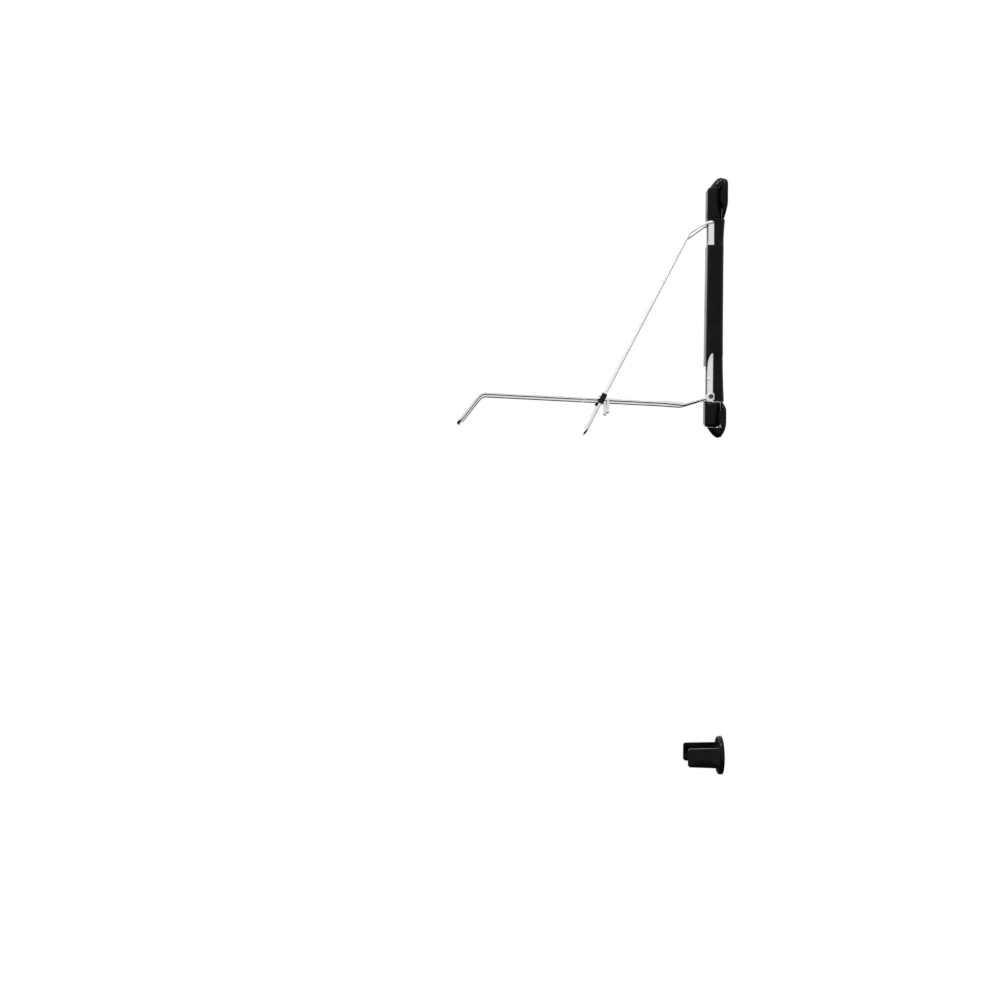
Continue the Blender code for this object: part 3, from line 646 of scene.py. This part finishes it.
def build_shell():
    """The back cover: wide behind the front cover, with stiffening grooves along its back."""
    def ring(half, front, corner, z):
        return [(p.x, p.y, z) for p in u_outline(half, shell_back(z), front, corner)]

    rings, tall = 48, SHELL_TOP - SHELL_BOTTOM
    narrow = [ring(SHELL_HALF, SHELL_FRONT, 0.012, SHELL_BOTTOM + tall * k / rings)
              for k in range(rings + 1)]
    blend, slim = 0.011, SHELL_HALF + 0.0003
    wide = []
    for k in range(rings + 1):
        z = COVER_ARCH - blend + (COVER_TOP - COVER_ARCH + 2 * blend) * k / rings
        inside = min(z - COVER_ARCH, COVER_TOP - z)
        ease = min(max((inside + blend) / (blend + 0.001), 0), 1)
        wide.append(ring(slim + (COVER_HALF - slim) * ease ** 2 * (3 - 2 * ease), COVER_BACK + GAP,
                         0.0138, z))
    half, core_half, core_back, cap = CHANNEL_HALF + GAP, 0.0135, -0.0145, 0.004
    steps = [("UNION", skin(wide)),
             ("DIFFERENCE", box((-half, -0.04, 0), (half, CHANNEL_BACK + GAP, 0.5))),
             ("DIFFERENCE", box((-core_half, -0.03, SHELL_BOTTOM + cap),
                                (core_half, core_back, SHELL_TOP - cap)))]
    pitch, wide_half, low, high = 0.005, 0.001, 0.17, 0.395
    for x in (pitch * (k - 1.5) for k in range(4)):
        groove = fillet([(x - wide_half, low), (x + wide_half, low), (x + wide_half, high),
                         (x - wide_half, high)], 0.00095, steps=5)
        steps.append(("DIFFERENCE", prism(groove, "Y", SHELL_BACK - 0.0009, 0.01)))
    plate_sweep = 0.0105
    steps.append(("DIFFERENCE", drum(plate_sweep, -0.03, 0.03, HINGE, "X")))
    item = carved("rear_shell_moulding", skin(narrow), steps)
    finish_piece(item, "column", "gloss_black", "rear_shell", sharp=40)


def build_hinge_hardware():
    """The lower arm's hinge bolt and nut, and the rivets that hold the hinge block."""
    hex_outline = hexagon(HINGE.y, HINGE.z, HEX_RADIUS)
    corner, face_radius, head_in, head_out = 0.0066, 0.0050, 0.0214, 0.0249
    chamfer = turned([(0, 0.0190), (corner, 0.0190), (corner, head_out - 0.0012),
                      (face_radius, head_out), (0, head_out)], HINGE, "X")
    head = carved("hinge_bolt_head", prism(hex_outline, "X", head_in, head_out), [
        ("INTERSECT", chamfer), ("UNION", drum(0.0056, PLATE_OUT + GAP, head_in + 0.0001, HINGE, "X")),
        ("UNION", drum(BOLT_RADIUS, -0.0262, head_in + 0.0001, HINGE, "X"))], bevel=0.0002, segments=2)
    finish_piece(head, "column", "dark_steel", "hinge_bolt")
    nut_in, nut_out = -PLATE_OUT - GAP, -0.0254
    chamfer = turned([(0, nut_out), (face_radius, nut_out), (corner, nut_out + 0.0011),
                      (corner, nut_in), (0, nut_in)], HINGE, "X")
    nut = carved("hinge_nut_hex", prism(hex_outline, "X", nut_out, nut_in), [
        ("INTERSECT", chamfer), ("DIFFERENCE", drum(BOLT_HOLE, -0.03, 0.0, HINGE, "X"))],
        bevel=0.0002, segments=2)
    finish_piece(nut, "column", "dark_steel", "hinge_nut")
    seat, crown = CHANNEL_HALF + GAP, 0.0019
    dome = [(RIVET_HEAD * math.cos(a), seat + crown * math.sin(a))
            for a in (math.pi / 2 * k / 8 for k in range(8))]
    profile = [(0, 0.006), (RIVET_SHANK, 0.006), (RIVET_SHANK, seat)] + dome + [(0, seat + crown)]
    for name, side in (("channel_rivet_left", -1), ("channel_rivet_right", 1)):
        rivet = made_object(name + "_dome", turned([(r, side * h) for r, h in profile], RIVET, "X"))
        finish_piece(rivet, "column", "bright_zinc", name)


# ---------------------------------------------------------------- arms

def build_lower_loop():
    """The bent rod that the tyre rests in."""
    half = [Vector((0.0252, -0.0475, 0.0459)), Vector((0.0252, -0.054, 0.0443)),
            Vector((0.029, -0.101, 0.030)), RAIL_START, RAIL_TIP, RAIL_HOOK]
    bends = [0, 0.02, 0.03, 0.04, 0.018, 0.018]
    path = fillet(half + flipped(half), bends + bends[::-1], closed=False, steps=14)
    loop = made_object("lower_loop_rod", rod(path, RAIL_RADIUS, 32))
    finish_piece(loop, "lower_arm", "bright_zinc", "lower_loop", sharp=60)


def build_hinge_plates():
    """The pressed plates at the loop's ends, and the weld beads above and below the rod."""
    along = (HINGE_END - HINGE).normalized()
    across = Vector((0, -along.z, along.y)) * PLATE_EYE
    plate = [HINGE + along * PLATE_EYE * math.cos(a) + across * math.sin(a)
             for a in (math.pi * (k / 24 + 0.5) for k in range(25))]
    plate += [HINGE_END - across * 0.8, HINGE_END + across * 0.7]
    bead_x, bead_radius, wobble = PLATE_OUT + 0.0006, 0.0011, 0.00025
    for hand, side in (("left", -1), ("right", 1)):
        name = "hinge_plate_" + hand
        ends = sorted((side * PLATE_IN, side * PLATE_OUT))
        item = carved(name + "_pressing", prism([(p.y, p.z) for p in plate], "X", *ends),
                      [("DIFFERENCE", drum(BOLT_HOLE, -0.05, 0.05, HINGE, "X"))], bevel=0.0005)
        finish_piece(item, "lower_arm", "bright_zinc", name)
        start, end = Vector((side * bead_x, -0.0480, 0.0498)), Vector((side * bead_x, -0.0545, 0.0482))
        for row, drop in (("upper", 0.0), ("lower", 0.0078)):
            path = [start.lerp(end, k / 9) - Vector((0, 0, drop)) for k in range(10)]
            bead = made_object(f"weld_{row}_{hand}", rod(path, bead_radius, 10))
            for index, vert in enumerate(bead.data.vertices):
                vert.co.z += wobble * math.sin(index * 0.7)
            finish_piece(bead, "lower_arm", "bright_zinc", sharp=60)


def build_stop_posts():
    """The round-ended posts under the rails."""
    slope = (RAIL_TIP - RAIL_START).normalized()
    rail_z = RAIL_START.z + (POST_Y - RAIL_START.y) * slope.z / slope.y
    top = rail_z - 0.0026
    round_end = [(POST_RADIUS * math.sin(a), POST_BOTTOM + POST_RADIUS * (1 - math.cos(a)))
                 for a in (math.pi / 2 * k / 8 for k in range(1, 9))]
    profile = [(0, POST_BOTTOM)] + round_end + [(POST_RADIUS, top), (0, top)]
    for name, side in (("stop_post_left", -1), ("stop_post_right", 1)):
        middle = Vector((side * RAIL_X, POST_Y, rail_z))
        seat = rod([middle - slope * 0.02, middle + slope * 0.02], RAIL_RADIUS + 0.0001, 32)
        post = carved(name + "_turned", turned(profile, (side * RAIL_X, POST_Y, 0)),
                      [("DIFFERENCE", seat)])
        finish_piece(post, "lower_arm", "bright_zinc", name)


def build_guide_rivets():
    """The headed rivets through the rails that the clips turn on."""
    shank, head, inside, outside = 0.0016, 0.0032, 0.0314, 0.0443
    profile = [(0, inside), (shank, 0.0315), (0.0027, 0.0320), (head, 0.0328), (head, 0.0334),
               (shank, 0.0336), (shank, outside), (0, outside)]
    for name, side in (("guide_rivet_left", -1), ("guide_rivet_right", 1)):
        rivet = made_object(name + "_head", turned([(r, side * h) for r, h in profile], CROSSING, "X"))
        finish_piece(rivet, "lower_arm", "dark_steel", name)


def build_upper_loop():
    """The bent wire bail, whose hooks turn in the channel's upper window."""
    hinge_y, hinge_z = BAIL_HINGE.yz
    half = [Vector((HOOK_IN, hinge_y, hinge_z)), Vector((HOOK_OUT, hinge_y, hinge_z)),
            Vector((HOOK_OUT + 0.001, -0.048, 0.4615)), LEG_TOP, LEG_TOP + DOWN * LEG_LENGTH]
    bends = [0, 0.0034, 0.012, 0.015, 0.018]
    path = fillet(half + flipped(half), bends + bends[::-1], closed=False, steps=14)
    loop = made_object("upper_loop_wire", rod(path, LEG_RADIUS, 28))
    finish_piece(loop, "upper_arm", "bright_zinc", "upper_loop", sharp=60)


def build_guides():
    """Moulded clips that run along the bail's legs: a channel with four ribs round its outside."""
    section = fillet([(0.0428, -0.0066), (0.0540, -0.0066), (0.0540, 0.0052), (0.0516, 0.0044),
                      (0.0516, -0.0037), (0.0444, -0.0037), (0.0444, 0.0062), (0.0428, 0.0062)],
                     [0.0006, 0.0026, 0.0008, 0.0004, 0.0016, 0.0010, 0.0006, 0.0006], steps=6)
    rib_section = [(0.0430, -0.0064), (0.0536, -0.0064), (0.0536, 0.004),
                   (0.0546, 0.004), (0.0546, -0.0076), (0.0430, -0.0076)]
    tilt = Matrix.Translation(CROSSING) @ Matrix.Rotation(-LEG_TILT, 4, "X")

    def along_leg(outline, side, low, high):
        shape = prism([(side * x, y) for x, y in outline], "Z", low, high)
        bmesh.ops.transform(shape, matrix=tilt, verts=shape.verts)
        bmesh.ops.recalc_face_normals(shape, faces=shape.faces)
        return shape

    for name, side in (("guide_left", -1), ("guide_right", 1)):
        steps = []
        for z in (CLIP_RIB_PITCH * (k - 1.5) for k in range(4)):
            rib = along_leg(rib_section, side, z - CLIP_RIB_HALF, z + CLIP_RIB_HALF)
            steps.append(("UNION", rib))
        steps.append(("DIFFERENCE", drum(0.0019, -0.047, 0.047, CROSSING, "X")))
        item = carved(name + "_clip", along_leg(section, side, -CLIP_HALF, CLIP_HALF), steps,
                      bevel=0.0003, segments=2, angle=45)
        finish_piece(item, name, "satin_black", name)


def keep_frame_node(node, look):
    """A CAD node whose shape is right keeps it and gets the fine material."""
    item = frame["nodes"][node]
    item.data.materials.clear()
    item.data.materials.append(MATERIAL[look])


# ---------------------------------------------------------------- room

def area_light(name, place, target, size, power):
    """A square lamp that faces a point."""
    data = bpy.data.lights.new(name, "AREA")
    data.size = size
    data.energy = power
    lamp = bpy.data.objects.new(name, data)
    bpy.context.scene.collection.objects.link(lamp)
    lamp.location = place
    lamp.rotation_euler = (Vector(target) - Vector(place)).to_track_quat("-Z", "Y").to_euler()


def camera_sees_white(tree, other):
    """White for the camera; lighting and reflections see the other shader."""
    path = tree.nodes.new("ShaderNodeLightPath")
    white = tree.nodes.new("ShaderNodeEmission" if other.type != "BACKGROUND" else "ShaderNodeBackground")
    white.inputs["Color"].default_value = (1, 1, 1, 1)
    white.inputs["Strength"].default_value = 1.02
    mix = tree.nodes.new("ShaderNodeMixShader")
    tree.links.new(path.outputs["Is Camera Ray"], mix.inputs["Fac"])
    tree.links.new(other.outputs[0], mix.inputs[1])
    tree.links.new(white.outputs[0], mix.inputs[2])
    output = next(n for n in tree.nodes if n.type in ("OUTPUT_WORLD", "OUTPUT_MATERIAL"))
    tree.links.new(mix.outputs[0], output.inputs["Surface"])


def build_world():
    """A bright studio, whiter beyond the rack than on the camera's side."""
    world = bpy.context.scene.world or bpy.data.worlds.new("studio")
    bpy.context.scene.world = world
    world.use_nodes = True
    tree = world.node_tree
    sky = next(n for n in tree.nodes if n.type == "BACKGROUND")
    fade = ranged(tree, x_of(tree, "Generated"), 1.15, 0.85, -0.2, 0.9)
    tree.links.new(fade, sky.inputs["Strength"])
    sky.inputs["Color"].default_value = (1, 1, 1, 1)
    camera_sees_white(tree, sky)


def build_room():
    """A floor that is pale on the camera's side and dark beyond the rack, which draws the wires.

    Three small lamps make the highlights on the top bracket.
    """
    bpy.context.scene.view_settings.view_transform = "Standard"
    reach, top = 9, -1.15
    floor = made_object("floor", box((-reach, -reach, top - 0.01), (reach, reach, top)))
    made, tree, shader = shader_material("studio_floor", (0.5, 0.5, 0.5), 0.9, specular=0.1)
    side = ranged(tree, x_of(tree, "Object"), 0, 1, 0.5, 1.4)
    tree.links.new(blended(tree, side, (0.01, 0.01, 0.01), (0.75, 0.75, 0.75)),
                   shader.inputs["Base Color"])
    camera_sees_white(tree, shader)
    floor.data.materials.append(made)
    build_world()
    head_dome = (0, -0.03, 0.55)
    for name, y, z in (("left", -1.7, 2.1), ("middle", -0.9, 2.5), ("right", -0.1, 2.7)):
        area_light("spot_" + name, (0.5, y, z), head_dome, size=0.16, power=24)


def build_camera():
    """Looks along the wall from between the rack and its tail bracket, with a slight roll."""
    data = bpy.data.cameras.new("camera")
    data.sensor_width = 36
    data.lens = 45.18
    camera = bpy.data.objects.new("camera", data)
    bpy.context.scene.collection.objects.link(camera)
    roll = math.radians(0.46)
    facing = Matrix.Rotation(math.pi / 2, 4, "Z") @ Matrix.Rotation(math.pi / 2, 4, "X")
    place = Matrix.Translation((3.0, -0.5339, -0.2002))
    camera.matrix_world = place @ facing @ Matrix.Rotation(roll, 4, "Z")
    bpy.context.scene.camera = camera


build_camera()
build_wall_side()
build_tail_bracket()
build_channel()
build_cover()
build_shell()
turret("head", HEAD_LOW, HEAD_HIGH, True, HEAD_RIM, HEAD_FRONT)
turret("foot", FOOT_LOW, FOOT_HIGH, False, FOOT_RIM, FOOT_FRONT)
collar("head_collar", HEAD_LOW - 0.0061, HEAD_LOW - GAP, True, HEAD_FRONT)
collar("foot_collar", FOOT_HIGH + GAP, FOOT_HIGH + 0.0036, False, FOOT_FRONT)
build_hinge_hardware()
build_lower_loop()
build_hinge_plates()
build_stop_posts()
build_guide_rivets()
build_upper_loop()
build_guides()
for node, look in (("top_pivot_pin", "dark_steel"), ("bottom_pivot_pin", "dark_steel"),
                   ("top_bush", "nylon"), ("bottom_bush", "nylon"), ("hinge_block", "satin_black")):
    keep_frame_node(node, look)
build_room()
